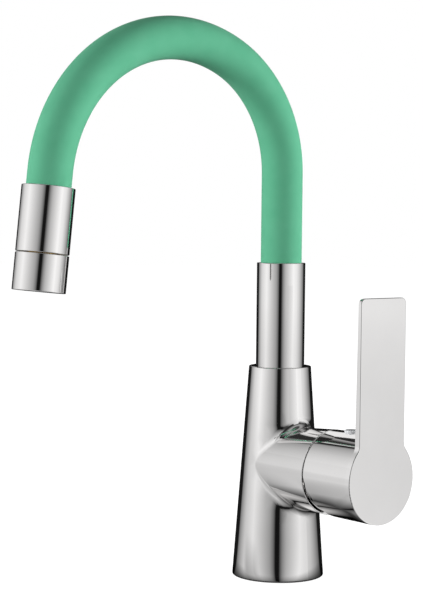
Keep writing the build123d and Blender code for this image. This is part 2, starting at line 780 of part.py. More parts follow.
# Stem that turns and tilts with the lever
with BuildPart() as cartridge_stem:
    with Locations(side_plane.offset(stem_foot_distance).location):
        Sphere(stem_foot_radius)
    with BuildSketch(side_plane.offset(stem_foot_distance)):
        Circle(stem_neck_radius)
    extrude(amount=stem_neck_length)
    with BuildSketch(side_plane.offset(stem_foot_distance + stem_neck_length)):
        Circle(stem_radius)
    extrude(amount=stem_square_start - stem_foot_distance - stem_neck_length)
    with BuildSketch(side_plane.offset(stem_square_start)):
        Rectangle(stem_square, stem_square)
    extrude(amount=stem_top - stem_square_start)
    with BuildSketch(Plane.XZ.offset(-stem_square)):
        with Locations((stem_pivot_distance, handle_axis_height)):
            Circle(stem_pin_radius + running_gap)
    extrude(amount=2 * stem_square, mode=Mode.SUBTRACT)
cartridge_stem.part.label = "cartridge_stem"
export_step(cartridge_stem.part, "parts/cartridge_stem.step")

with BuildPart() as cartridge_nut:
    with BuildSketch(side_plane.offset(cartridge_top)):
        annulus(nut_radius, nut_bore_radius)
    extrude(amount=nut_height)
    with BuildSketch(side_plane.offset(cartridge_top + nut_height - nut_slot_depth)):
        with PolarLocations(nut_bore_radius, nut_slot_count):
            Rectangle(nut_slot_width, nut_slot_width)
    extrude(amount=nut_slot_depth, mode=Mode.SUBTRACT)
cartridge_nut.part.label = "cartridge_nut"
export_step(cartridge_nut.part, "parts/cartridge_nut.step")

# Domed trim ring over the nut, round about the point where the lever tilts
dome_start = housing_length + fit_gap
with BuildPart() as dome_ring:
    with Locations(side_plane.offset(stem_pivot_distance).location):
        Sphere(dome_sphere_radius)
    with BuildSketch(side_plane.offset(dome_start)):
        Circle(base_radius)
    extrude(amount=-base_radius - dome_start, mode=Mode.SUBTRACT)
    with BuildSketch(side_plane.offset(dome_top)):
        Circle(base_radius)
    extrude(amount=base_radius, mode=Mode.SUBTRACT)
    with BuildSketch(side_plane.offset(dome_start)):
        Circle(nut_radius + fit_gap)
    extrude(amount=cartridge_top + nut_height + fit_gap - dome_start, mode=Mode.SUBTRACT)
    with BuildSketch(side_plane.offset(dome_start)):
        Circle(dome_bore_radius)
    extrude(amount=dome_top - dome_start, mode=Mode.SUBTRACT)
dome_ring.part.label = "dome_ring"
export_step(dome_ring.part, "parts/dome_ring.step")

# Lever: hollow hub, flat face and tongue in one casting
hub_end_inside = hub_face - hub_face_thickness
tongue_back = hub_face - tongue_root_thickness
button_seat_height = handle_axis_height + hub_start_radius - button_sink
with BuildPart() as lever_handle:
    with BuildSketch(side_plane.offset(tongue_back)) as face_sketch:
        Circle(hub_end_radius)
        with BuildLine():
            Polyline(
                (-tongue_half_width, 0),
                (tongue_half_width, 0),
                (tongue_half_width, tongue_top - handle_axis_height),
                (-tongue_half_width, tongue_top - handle_axis_height),
                close=True,
            )
        make_face()
        tongue_corners = face_sketch.vertices().group_by(Axis.Y)[-1]
        fillet(tongue_corners, tongue_corner_radius)
        root_corners = face_sketch.vertices().group_by(Axis.Y)[-3]
        fillet(root_corners, tongue_root_radius)
    extrude(amount=tongue_root_thickness)
    with BuildSketch(Plane.XZ.offset(-base_radius)):
        with BuildLine():
            Polyline(
                (tongue_back - overrun, handle_axis_height + hub_end_radius),
                (tongue_back, handle_axis_height + hub_end_radius),
                (hub_face - tongue_tip_thickness, tongue_top),
                (hub_face - tongue_tip_thickness, tongue_top + overrun),
                (tongue_back - overrun, tongue_top + overrun),
                close=True,
            )
        make_face()
    extrude(amount=2 * base_radius, mode=Mode.SUBTRACT)
    face_edges = lever_handle.faces().sort_by(Axis.X)[-1].edges()
    fillet(face_edges, face_edge_round)
    with BuildSketch(Plane.XZ):
        with BuildLine():
            Polyline(
                (hub_start, handle_axis_height),
                (hub_start, handle_axis_height + hub_start_radius),
                (tongue_back, handle_axis_height + hub_end_radius),
                (tongue_back, handle_axis_height),
                close=True,
            )
        make_face()
    revolve(axis=side_axis)
    with BuildSketch(side_plane.offset(hub_start)):
        Circle(hub_start_radius - hub_wall)
    extrude(amount=hub_end_inside - hub_start, mode=Mode.SUBTRACT)
    with BuildSketch(side_plane.offset(hub_boss_start)):
        Circle(hub_boss_radius)
    extrude(amount=hub_end_inside - hub_boss_start)
    with BuildSketch(side_plane.offset(hub_boss_start)):
        Rectangle(stem_square + 2 * fit_gap, stem_square + 2 * fit_gap)
    extrude(amount=stem_top + fit_gap - hub_boss_start, mode=Mode.SUBTRACT)
    with BuildSketch(Plane.XZ.offset(-base_radius)):
        with BuildLine():
            Polyline(
                (hub_start - overrun, handle_axis_height),
                (hub_start, handle_axis_height),
                (hub_start + hub_relief, handle_axis_height - hub_start_radius),
                (hub_start + hub_relief, handle_axis_height - hub_start_radius - overrun),
                (hub_start - overrun, handle_axis_height - hub_start_radius - overrun),
                close=True,
            )
        make_face()
    extrude(amount=2 * base_radius, mode=Mode.SUBTRACT)
    with BuildSketch(Plane.XY.offset(button_seat_height)):
        with Locations((button_distance, 0)):
            Circle(button_radius + fit_gap)
    extrude(amount=hub_start_radius, mode=Mode.SUBTRACT)
    with BuildSketch(Plane.XY.offset(handle_axis_height + hub_boss_radius)):
        with Locations((button_distance, 0)):
            Circle(button_plug_radius + fit_gap)
    extrude(amount=hub_start_radius, mode=Mode.SUBTRACT)
    with BuildSketch(Plane.XY.offset(handle_axis_height)):
        with Locations((button_distance, 0)):
            Circle(set_screw_radius + running_gap)
    extrude(amount=hub_start_radius, mode=Mode.SUBTRACT)
lever_handle.part.label = "lever_handle"
export_step(lever_handle.part, "parts/lever_handle.step")

with BuildPart() as handle_set_screw:
    with BuildSketch(Plane.XY.offset(handle_axis_height + stem_square / 2)):
        with Locations((button_distance, 0)):
            Circle(set_screw_radius)
    extrude(amount=set_screw_length)
    with BuildSketch(Plane.XY.offset(handle_axis_height + stem_square / 2 + set_screw_length)):
        with Locations((button_distance, 0)):
            RegularPolygon(set_screw_radius / 2, side_count=6)
    extrude(amount=-set_screw_length / 2, mode=Mode.SUBTRACT)
handle_set_screw.part.label = "handle_set_screw"
export_step(handle_set_screw.part, "parts/handle_set_screw.step")

with BuildPart() as index_button:
    with BuildSketch(Plane.XY.offset(button_seat_height)):
        with Locations((button_distance, 0)):
            Circle(button_radius)
    extrude(amount=button_sink + button_proud)
    fillet(index_button.edges().sort_by(Axis.Z)[-1], button_edge_round)
    with BuildSketch(Plane.XY.offset(button_seat_height)):
        with Locations((button_distance, 0)):
            Circle(button_plug_radius)
    extrude(amount=-button_plug_length)
index_button.part.label = "index_button"
export_step(index_button.part, "parts/index_button.step")

route_total = rise_top - ferrule_top + spout_length + sheath_entry
section = pi * (sheath_radius**2 - sheath_bore_radius**2)
print("hose end", head_plane.origin, "turn", shoulder_turn + crown_turn)
print("sheath volume over section times length", hose_sheath.part.volume / (section * route_total))
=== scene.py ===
# %% [markdown]
# # A kitchen faucet with a flexible spout
#
# A chromed cone stands on the deck. A housing on its side carries the lever, and a chromed tube on
# its top holds a flexible spout in a green silicone sheath, which ends in a chromed spray head.
#
# The engineering model comes in as a fixed frame, in metres, with the foot's centre at the origin
# and the spout reaching towards -Y. Its metal and its small parts are smooth and right as they are,
# so they only get their materials here. The silicone sheath and the water hose in it are modelled
# again, because they have to bend with the spout.

# %% The frame
from math import ceil, cos, pi, radians, sin

import bpy
from mathutils import Matrix, Vector


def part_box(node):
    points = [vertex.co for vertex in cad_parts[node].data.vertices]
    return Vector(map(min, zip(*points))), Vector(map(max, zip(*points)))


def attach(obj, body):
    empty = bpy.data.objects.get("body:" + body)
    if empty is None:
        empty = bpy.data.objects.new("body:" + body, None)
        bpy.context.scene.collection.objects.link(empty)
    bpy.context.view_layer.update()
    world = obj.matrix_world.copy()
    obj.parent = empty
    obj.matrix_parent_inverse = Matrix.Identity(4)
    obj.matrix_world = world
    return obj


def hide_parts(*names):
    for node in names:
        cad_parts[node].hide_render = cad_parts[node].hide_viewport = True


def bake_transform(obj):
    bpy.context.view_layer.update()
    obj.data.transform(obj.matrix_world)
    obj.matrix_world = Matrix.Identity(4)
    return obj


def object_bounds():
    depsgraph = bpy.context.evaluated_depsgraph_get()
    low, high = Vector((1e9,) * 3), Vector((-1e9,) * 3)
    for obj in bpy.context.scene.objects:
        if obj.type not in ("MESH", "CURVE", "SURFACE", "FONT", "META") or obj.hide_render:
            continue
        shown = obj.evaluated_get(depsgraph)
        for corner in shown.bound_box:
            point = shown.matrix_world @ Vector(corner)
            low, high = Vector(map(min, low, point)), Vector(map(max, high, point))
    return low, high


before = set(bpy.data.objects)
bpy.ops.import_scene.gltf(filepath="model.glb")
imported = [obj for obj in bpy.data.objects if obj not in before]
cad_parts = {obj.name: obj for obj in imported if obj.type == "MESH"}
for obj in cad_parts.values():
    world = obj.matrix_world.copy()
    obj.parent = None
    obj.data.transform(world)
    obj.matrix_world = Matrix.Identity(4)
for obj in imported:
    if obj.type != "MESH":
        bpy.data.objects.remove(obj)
cad_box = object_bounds()
mm = 0.001
print("frame", len(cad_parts), "nodes,", round((cad_box[1] - cad_box[0]).z / mm), "mm tall")

# %% [markdown]
# ## Camera
#
# The picture was taken from in front of the faucet and to the right of its spout, a little above
# the middle, with a long lens. A camera can be aimed with a constraint, but a heading, a pitch and a
# small roll as three plain turns are easier to check against the edges of a picture.

# %% Camera
camera_place = Vector((0.6921, -0.6172, 0.1948))
camera_heading = radians(50.61)
camera_pitch = radians(2.75)
camera_roll = radians(0.56)
camera_lens = 102

camera_turn = Matrix.Rotation(camera_heading, 4, "Z")
camera_turn = camera_turn @ Matrix.Rotation(pi / 2 - camera_pitch, 4, "X")
camera_turn = camera_turn @ Matrix.Rotation(camera_roll, 4, "Z")
bpy.ops.object.camera_add()
camera = bpy.context.object
camera.matrix_world = Matrix.Translation(camera_place) @ camera_turn
camera.data.lens = camera_lens
bpy.context.scene.camera = camera
bpy.context.scene.view_settings.view_transform = "Standard"
print("camera at", tuple(round(value, 3) for value in camera_place))

# %% [markdown]
# ## Light
#
# Polished metal has no colour of its own to speak of: what it shows is the room. So the room is
# built as a photographer would, with large soft lamps for the sheath and the floor, and a ring of
# pale and dark screens that only mirrors see. The world is white where the camera or a mirror looks
# at it and dimmer as a light, so that a pale background doesn't flood the object.

# %% World
world_light = 0.05

world = bpy.data.worlds.new("studio")
bpy.context.scene.world = world
world.use_nodes = True
world_nodes = world.node_tree.nodes
background = world_nodes["Background"]
background.inputs["Color"].default_value = (1, 1, 1, 1)
rays = world_nodes.new("ShaderNodeLightPath")


def seen_or_mirrored(tree, path):
    """1 for a ray that comes from the camera, a mirror or glass, and 0 for soft light."""
    total = path.outputs["Is Camera Ray"]
    for name in ("Is Glossy Ray", "Is Transmission Ray"):
        sum_node = tree.nodes.new("ShaderNodeMath")
        sum_node.operation = "MAXIMUM"
        tree.links.new(total, sum_node.inputs[0])
        tree.links.new(path.outputs[name], sum_node.inputs[1])
        total = sum_node.outputs[0]
    return total


strength = world_nodes.new("ShaderNodeMapRange")
strength.inputs["To Min"].default_value = world_light
strength.inputs["To Max"].default_value = 1
world.node_tree.links.new(seen_or_mirrored(world.node_tree, rays), strength.inputs["Value"])
world.node_tree.links.new(strength.outputs["Result"], background.inputs["Strength"])
print("world light", world_light)

# %% Soft lamps
lamp_distance = 1.6
lamp_width = 1.1
lamp_height = 0.7


def soft_lamp(name, heading, height, power):
    """Wide lamp that points at the middle of the faucet. Mirrors don't see it."""
    place = Vector((cos(heading), sin(heading), 0)) * lamp_distance + Vector((0, 0, height))
    aim = Vector((0, 0, cad_box[1].z / 2)) - place
    bpy.ops.object.light_add(type="AREA", location=place, rotation=aim.to_track_quat("-Z", "Y").to_euler())
    lamp = bpy.context.object
    lamp.name = name
    lamp.data.shape = "RECTANGLE"
    lamp.data.size = lamp_width
    lamp.data.size_y = lamp_height
    lamp.data.energy = power
    lamp.visible_glossy = False
    lamp.visible_camera = False
    return lamp


camera_side = camera_heading - pi / 2
soft_lamp("left_lamp", camera_side - radians(90), 0.6, 29)
soft_lamp("right_lamp", camera_side + radians(98), 0.2, 46)
soft_lamp("front_lamp", camera_side, 0.2, 19)
print("lamps stand round", round(camera_side, 2), "radians")

# %% [markdown]
# ## Floor
#
# The faucet stands on a plain pale floor that runs out of the picture. Its own glow makes it as
# white as the background where nothing shades it, and the diffuse half still takes the shadow.

# %% Floor
floor_radius = 6.0
floor_near_glow = 0.9
floor_far_glow = 1.0
near_glow_radius = 0.1
far_glow_radius = 0.7
floor_shade = 0.5
floor_drop = 0.4 * mm

bpy.ops.mesh.primitive_circle_add(
    vertices=96, radius=floor_radius, fill_type="NGON", location=(0, 0, -floor_drop)
)
floor = bpy.context.object
floor.name = "floor"
paint = bpy.data.materials.new("floor_paint")
paint.use_nodes = True
floor_nodes = paint.node_tree.nodes
floor_links = paint.node_tree.links
floor_nodes.remove(floor_nodes["Principled BSDF"])
matte = floor_nodes.new("ShaderNodeBsdfDiffuse")
matte.inputs["Color"].default_value = (floor_shade, floor_shade, floor_shade, 1)
glow = floor_nodes.new("ShaderNodeEmission")
glow_strength = floor_nodes.new("ShaderNodeMath")
glow_strength.operation = "MULTIPLY"
floor_place = floor_nodes.new("ShaderNodeTexCoord")
floor_reach = floor_nodes.new("ShaderNodeVectorMath")
floor_reach.operation = "LENGTH"
far_glow = floor_nodes.new("ShaderNodeMapRange")
far_glow.inputs["From Min"].default_value = near_glow_radius
far_glow.inputs["From Max"].default_value = far_glow_radius
far_glow.inputs["To Min"].default_value = floor_near_glow
far_glow.inputs["To Max"].default_value = floor_far_glow
floor_links.new(floor_place.outputs["Object"], floor_reach.inputs[0])
floor_links.new(floor_reach.outputs["Value"], far_glow.inputs["Value"])
floor_links.new(far_glow.outputs["Result"], glow_strength.inputs[1])
both = floor_nodes.new("ShaderNodeAddShader")
floor_rays = floor_nodes.new("ShaderNodeLightPath")
floor_links.new(seen_or_mirrored(paint.node_tree, floor_rays), glow_strength.inputs[0])
floor_links.new(glow_strength.outputs[0], glow.inputs["Strength"])
floor_links.new(matte.outputs[0], both.inputs[0])
floor_links.new(glow.outputs[0], both.inputs[1])
floor_links.new(both.outputs[0], floor_nodes["Material Output"].inputs["Surface"])
floor.data.materials.append(paint)
print("floor", floor_radius, "m round")

# %% [markdown]
# ## Screens for the mirrors
#
# Chrome looks like chrome because pale and dark screens change places in it: a dark band straight
# at the camera, bright screens on both sides of it, and dark again at the outline. One round tub
# of screens gives all of these at once: a wall whose brightness follows the heading, and a bottom
# that darkens towards the foot. That dark bottom is a painted shadow and a painted reflection: it
# stands in for the faucet's own shadow and for the faucet mirrored in itself. Only mirror rays see
# the tub. Levels are written as on a screen, from 0 to 255. They are few plain gradients, chosen by
# setting the render beside the picture.

# %% Screen light
mirror_loss = 0.925


def screen_light(level):
    """Light that shows as this screen level once the metal has mirrored it."""
    share = level / 255
    return ((share + 0.055) / 1.055) ** 2.4 / mirror_loss


def grey_ramp(tree, stops):
    """Colour ramp with a grey stop for each pair of place, from 0 to 1, and light."""
    ramp = tree.nodes.new("ShaderNodeValToRGB")
    elements = ramp.color_ramp.elements
    while len(elements) < len(stops):
        elements.new(0.5)
    for element, (place, light) in zip(elements, stops):
        element.position = place
        element.color = (light, light, light, 1)
    return ramp


def new_glow(name):
    """Material that only glows. Returns its tree and its emission node."""
    material = bpy.data.materials.new(name)
    material.use_nodes = True
    tree = material.node_tree
    tree.nodes.remove(tree.nodes["Principled BSDF"])
    emission = tree.nodes.new("ShaderNodeEmission")
    tree.links.new(emission.outputs[0], tree.nodes["Material Output"].inputs["Surface"])
    return tree, emission


def heading_part(tree, centre_shift=0.0):
    """Heading round the faucet as a part of the full turn, 0.5 on the camera's side."""
    place = tree.nodes.new("ShaderNodeTexCoord")
    turn = tree.nodes.new("ShaderNodeMapping")
    turn.inputs["Rotation"].default_value = (0, 0, -camera_side)
    turn.inputs["Location"].default_value = (-centre_shift, 0, 0)
    heading = tree.nodes.new("ShaderNodeTexGradient")
    heading.gradient_type = "RADIAL"
    tree.links.new(place.outputs["Object"], turn.inputs["Vector"])
    tree.links.new(turn.outputs["Vector"], heading.inputs["Vector"])
    return heading.outputs["Fac"]


def heading_light(tree, levels, centre_shift=0.0):
    """Light that follows the heading, from pairs of degrees and level."""
    ramp = grey_ramp(tree, [((degrees + 180) / 360, screen_light(level)) for degrees, level in levels])
    tree.links.new(heading_part(tree, centre_shift), ramp.inputs["Fac"])
    return ramp.outputs["Color"]


def for_mirrors_only(screen, glow_name):
    """Gives a screen its glow and hides it from everything but mirror rays."""
    screen.data.materials.append(bpy.data.materials[glow_name])
    for name in ("visible_camera", "visible_diffuse", "visible_transmission", "visible_shadow"):
        setattr(screen, name, False)


print("white in the metal needs a light of", round(screen_light(255), 3))

# %% Wall and bottom
tub_radius = 1.0
tub_bottom = -0.2 * mm
tub_height = 0.45
# Heading from the camera's side in degrees, positive to its right, and the level seen in the metal
wall_levels = (
    (-180, 25),
    (-134, 25),
    (-130, 130),
    (-105, 210),
    (-75, 240),
    (-25, 160),
    (-15, 110),
    (-10, 20),
    (0, 20),
    (10, 140),
    (20, 180),
    (60, 245),
    (85, 225),
    (127, 110),
    (131, 25),
    (180, 25),
)
# Millimetres from the foot's centre, and the share of the wall's light that is left there; the low
# shares near the foot are the painted shadow and painted reflection. Past the wall's own distance it
# goes on up the wall, whose height counts several times.
bottom_shares = (
    (0, 0.04),
    (27, 0.08),
    (50, 0.5),
    (80, 0.87),
    (400, 0.85),
    (1000, 0.88),
    (1120, 1),
)
# Painted shadow of the housing: the same, darker, on the side that the housing's underside looks to
shaded_shares = (
    (0, 0.04),
    (27, 0.08),
    (60, 0.5),
    (200, 0.7),
    (330, 0.85),
    (1000, 0.88),
    (1120, 1),
)
# Headings, in degrees from the camera's side, where the housing's painted shadow takes over
shaded_side = ((-180, 0), (-104, 0), (-94, 1), (-70, 1), (-56, 0), (180, 0))
# Mirror rays from both outlines of the foot seem to come from a point in front of its axis
outline_shift = 25 * mm
share_span = 1.4
height_weight = 5

# The tub's glow: the studio's screens on its wall, a painted shadow and painted reflection on its bottom
tub_tree, tub_glow = new_glow("tub_cloth")
tub_tree.links.new(heading_light(tub_tree, wall_levels, outline_shift), tub_glow.inputs["Color"])
tub_place = tub_tree.nodes.new("ShaderNodeTexCoord")
tub_flat = tub_tree.nodes.new("ShaderNodeVectorMath")
tub_flat.operation = "MULTIPLY"
tub_flat.inputs[1].default_value = (1 / share_span, 1 / share_span, height_weight / share_span)
tub_reach = tub_tree.nodes.new("ShaderNodeVectorMath")
tub_reach.operation = "LENGTH"
tub_tree.links.new(tub_place.outputs["Object"], tub_flat.inputs[0])
tub_tree.links.new(tub_flat.outputs["Vector"], tub_reach.inputs[0])
side_ramp = grey_ramp(tub_tree, [((degrees + 180) / 360, cover) for degrees, cover in shaded_side])
tub_tree.links.new(heading_part(tub_tree, outline_shift), side_ramp.inputs["Fac"])
tub_share = tub_tree.nodes.new("ShaderNodeMix")
tub_tree.links.new(side_ramp.outputs["Color"], tub_share.inputs["Factor"])
for socket_name, shares in (("A", bottom_shares), ("B", shaded_shares)):
    share_ramp = grey_ramp(tub_tree, [(distance * mm / share_span, share) for distance, share in shares])
    tub_tree.links.new(tub_reach.outputs["Value"], share_ramp.inputs["Fac"])
    tub_tree.links.new(share_ramp.outputs["Color"], tub_share.inputs[socket_name])
tub_tree.links.new(tub_share.outputs["Result"], tub_glow.inputs["Strength"])

bpy.ops.object.select_all(action="DESELECT")
bpy.ops.mesh.primitive_cylinder_add(
    vertices=128, radius=tub_radius, depth=tub_height, location=(0, 0, tub_bottom + tub_height / 2)
)
tub = bpy.context.object
tub.name = "screen_tub"
bpy.ops.object.transform_apply()
bpy.ops.object.mode_set(mode="EDIT")
bpy.ops.mesh.select_all(action="DESELECT")
bpy.ops.object.mode_set(mode="OBJECT")
for face in tub.data.polygons:
    face.select = face.normal.z > 0.9
bpy.ops.object.mode_set(mode="EDIT")
bpy.ops.mesh.delete(type="ONLY_FACE")
bpy.ops.object.mode_set(mode="OBJECT")
for_mirrors_only(tub, "tub_cloth")
print("tub wall has", len(wall_levels), "levels")

# %% [markdown]
# The upper side of the housing looks higher, into the rigging of the studio: pale cloths with the
# dark edges of their frames between them. Two more rings stand on the wall for those, and a lid
# closes the room, dark at its rim and paler towards its middle.

# %% Rings above the wall
upper_height = 0.38
top_height = 0.32
upper_levels = (
    (-180, 230),
    (-165, 230),
    (-155, 35),
    (-136, 35),
    (-133, 150),
    (-95, 225),
    (-75, 235),
    (-25, 160),
    (-12, 60),
    (4, 60),
    (20, 170),
    (50, 225),
    (85, 230),
    (120, 200),
    (140, 60),
    (160, 60),
    (180, 230),
)
top_levels = (
    (-180, 40),
    (-153, 40),
    (-151, 150),
    (-146, 150),
    (-144, 35),
    (-136, 35),
    (-133, 150),
    (-100, 215),
    (-30, 45),
    (15, 45),
    (90, 160),
    (110, 150),
    (120, 45),
    (180, 40),
)


def screen_ring(name, low, height, levels):
    """Open ring of screens on top of the wall, with levels that follow the heading."""
    tree, glow_node = new_glow(name + "_cloth")
    tree.links.new(heading_light(tree, levels), glow_node.inputs["Color"])
    bpy.ops.mesh.primitive_cylinder_add(
        vertices=128,
        radius=tub_radius,
        depth=height,
        end_fill_type="NOTHING",
        location=(0, 0, low + height / 2),
    )
    ring = bpy.context.object
    ring.name = name
    bpy.ops.object.transform_apply()
    for_mirrors_only(ring, name + "_cloth")


upper_low = tub_bottom + tub_height
top_low = upper_low + upper_height
screen_ring("upper_ring", upper_low, upper_height, upper_levels)
screen_ring("top_ring", top_low, top_height, top_levels)
print("rings up to", round(top_low + top_height, 2), "m")

# %% Lid
# Millimetres from the lid's centre, and the level there
lid_levels = ((0, 60), (250, 70), (320, 150), (500, 150), (650, 110), (850, 60), (900, 35), (1000, 35))

lid_tree, lid_glow = new_glow("lid_cloth")
lid_place = lid_tree.nodes.new("ShaderNodeTexCoord")
lid_reach = lid_tree.nodes.new("ShaderNodeVectorMath")
lid_reach.operation = "LENGTH"
lid_ramp = grey_ramp(lid_tree, [(distance * mm, screen_light(level)) for distance, level in lid_levels])
lid_tree.links.new(lid_place.outputs["Object"], lid_reach.inputs[0])
lid_tree.links.new(lid_reach.outputs["Value"], lid_ramp.inputs["Fac"])
lid_tree.links.new(lid_ramp.outputs["Color"], lid_glow.inputs["Color"])
bpy.ops.mesh.primitive_circle_add(
    vertices=128,
    radius=tub_radius,
    fill_type="NGON",
    location=(0, 0, top_low + top_height),
)
lid = bpy.context.object
lid.name = "screen_lid"
for_mirrors_only(lid, "lid_cloth")
print("lid has", len(lid_levels), "levels")

# %% [markdown]
# The back of the lever's tongue would show in the column as a dark stripe. A sheet there, out of
# the camera's sight, paints that stripe out: it glows with the wall's own light on the side of the
# column, a painted reflection of the wall where the tongue's back would be mirrored, and from behind
# it is as clear as air.

# %% Glowing card behind the tongue, a painted reflection
card_gap = 1.2 * mm
card_margin = 1.5 * mm
tongue_foot = 86 * mm
tongue_thickness = 3.3 * mm
tongue_half_width = 16.1 * mm
lever_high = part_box("lever_handle")[1]
card_place = lever_high.x - tongue_thickness - card_gap
card_half_width = tongue_half_width + card_margin
card_middle = (tongue_foot + lever_high.z + card_margin) / 2
card_height = lever_high.z + card_margin - tongue_foot

# Its glow is a painted reflection of the wall, laid over the tongue's own
card_tree, card_glow = new_glow("tongue_painted_reflection")
card_tree.links.new(heading_light(card_tree, wall_levels), card_glow.inputs["Color"])
clear = card_tree.nodes.new("ShaderNodeBsdfTransparent")
sides = card_tree.nodes.new("ShaderNodeNewGeometry")
one_sided = card_tree.nodes.new("ShaderNodeMixShader")
card_tree.links.new(sides.outputs["Backfacing"], one_sided.inputs["Fac"])
card_tree.links.new(card_glow.outputs[0], one_sided.inputs[1])
card_tree.links.new(clear.outputs[0], one_sided.inputs[2])
card_tree.links.new(one_sided.outputs[0], card_tree.nodes["Material Output"].inputs["Surface"])

bpy.ops.mesh.primitive_plane_add(size=1, location=(card_place, 0, card_middle), rotation=(0, -pi / 2, 0))
card = bpy.context.object
card.name = "tongue_reflection_card"
card.scale = (card_height, 2 * card_half_width, 1)
bpy.ops.object.transform_apply()
for_mirrors_only(card, "tongue_painted_reflection")
print("card faces", tuple(round(value) for value in card.data.polygons[0].normal))

# %% [markdown]
# ## Finishes
#
# Every finish is one shader with the same few nodes round it: a noise in the object's own
# coordinates drives the colour, the roughness and, where the real surface has a texture, a bump.
# Real coordinates in metres mean that a noise scale of 1000 has grains of about a millimetre.

# %% Finish helpers


def new_finish(name):
    """Empty material with its node tree and its shader."""
    material = bpy.data.materials.new(name)
    material.use_nodes = True
    return material.node_tree, material.node_tree.nodes["Principled BSDF"]


def grain(tree, scale, detail=3.0, stretch=(1, 1, 1)):
    """Noise on the object's own coordinates, stretched for brushed or drawn surfaces."""
    place = tree.nodes.new("ShaderNodeTexCoord")
    mapping = tree.nodes.new("ShaderNodeMapping")
    mapping.inputs["Scale"].default_value = stretch
    noise = tree.nodes.new("ShaderNodeTexNoise")
    noise.inputs["Scale"].default_value = scale
    noise.inputs["Detail"].default_value = detail
    tree.links.new(place.outputs["Object"], mapping.inputs["Vector"])
    tree.links.new(mapping.outputs["Vector"], noise.inputs["Vector"])
    return noise.outputs["Fac"]


def drive(tree, source, socket, low, high):
    """The socket runs from low to high as the noise goes from its dark to its light parts."""
    spread = tree.nodes.new("ShaderNodeMapRange")
    spread.inputs["From Min"].default_value = 0.3
    spread.inputs["From Max"].default_value = 0.7
    spread.inputs["To Min"].default_value = low
    spread.inputs["To Max"].default_value = high
    tree.links.new(source, spread.inputs["Value"])
    tree.links.new(spread.outputs["Result"], socket)


def tint(tree, source, socket, dark, light):
    """The colour socket runs between two colours with the noise."""
    ramp = tree.nodes.new("ShaderNodeValToRGB")
    ramp.color_ramp.elements[0].position = 0.3
    ramp.color_ramp.elements[0].color = (*dark, 1)
    ramp.color_ramp.elements[1].position = 0.7
    ramp.color_ramp.elements[1].color = (*light, 1)
    tree.links.new(source, ramp.inputs["Fac"])
    tree.links.new(ramp.outputs["Color"], socket)


def texture_height(tree, source, shader, height, strength):
    """Bump of a real height in metres."""
    bump = tree.nodes.new("ShaderNodeBump")
    bump.inputs["Distance"].default_value = height
    bump.inputs["Strength"].default_value = strength
    tree.links.new(source, bump.inputs["Height"])
    tree.links.new(bump.outputs["Normal"], shader.inputs["Normal"])


# %% [markdown]
# ### Chrome
#
# Bright chromium plate is a near perfect mirror with hardly a tint. New plating has no scratches to
# speak of, so its detail is faint: the polish varies a little from place to place.

# %% Chrome
chrome_tree, chrome_shader = new_finish("chrome_plate")
chrome = bpy.data.materials["chrome_plate"]
chrome_shader.inputs["Metallic"].default_value = 1
polish = grain(chrome_tree, 60)
tint(chrome_tree, polish, chrome_shader.inputs["Base Color"], (0.93, 0.919, 0.914), (0.95, 0.94, 0.935))
drive(chrome_tree, polish, chrome_shader.inputs["Roughness"], 0.035, 0.06)
print("finish", chrome.name)

# %% [markdown]
# ### Green silicone
#
# The sheath is moulded silicone: matt, with a fine powdery surface that scatters a little light at
# grazing angles. A trace of sheen gives that, and a bump of a few hundredths of a millimetre breaks
# up the highlights.

# %% Green silicone
silicone_tree, silicone_shader = new_finish("green_silicone_skin")
silicone = bpy.data.materials["green_silicone_skin"]
cloudy = grain(silicone_tree, 90, 2.0)
pores = grain(silicone_tree, 4500, 2.0)
silicone_dark = (0.093, 0.365, 0.218)
silicone_light = (0.105, 0.388, 0.235)
tint(silicone_tree, cloudy, silicone_shader.inputs["Base Color"], silicone_dark, silicone_light)
drive(silicone_tree, pores, silicone_shader.inputs["Roughness"], 0.5, 0.6)
texture_height(silicone_tree, pores, silicone_shader, 0.03 * mm, 0.35)
silicone_shader.inputs["Specular IOR Level"].default_value = 0.08
silicone_shader.inputs["Sheen Weight"].default_value = 0.03
silicone_shader.inputs["Sheen Roughness"].default_value = 0.5
print("finish", silicone.name)

# %% [markdown]
# ### Metals, rubbers and plastics inside
#
# The parts inside show when the lever is lifted or the head is seen from below. Turned brass and
# drawn steel have fine lines round their axis, moulded parts a soft mottling; here all of them get
# the same soft mottle. They differ only in numbers, so one table and one loop make them all.

# %% Inner finishes
# Dark and light tint, roughness from and to, metal or not, and the scale of the noise
inner_finishes = {
    "brass": ((0.62, 0.45, 0.2), (0.7, 0.53, 0.26), (0.22, 0.34), 1, 700),
    "steel": ((0.5, 0.51, 0.53), (0.6, 0.61, 0.63), (0.18, 0.3), 1, 900),
    "seal_rubber": ((0.018, 0.018, 0.019), (0.032, 0.032, 0.033), (0.55, 0.7), 0, 1500),
    "ceramic": ((0.8, 0.79, 0.76), (0.86, 0.85, 0.82), (0.2, 0.3), 0, 500),
    "cartridge_plastic": ((0.62, 0.63, 0.65), (0.68, 0.69, 0.71), (0.4, 0.5), 0, 1200),
    "acetal": ((0.8, 0.8, 0.78), (0.86, 0.86, 0.84), (0.35, 0.45), 0, 1200),
    "hose_rubber": ((0.05, 0.05, 0.055), (0.075, 0.075, 0.08), (0.5, 0.65), 0, 1500),
    "button_plastic": ((0.6, 0.61, 0.63), (0.68, 0.69, 0.71), (0.12, 0.2), 0, 800),
}
finishes = {"chrome": chrome, "green_silicone": silicone}
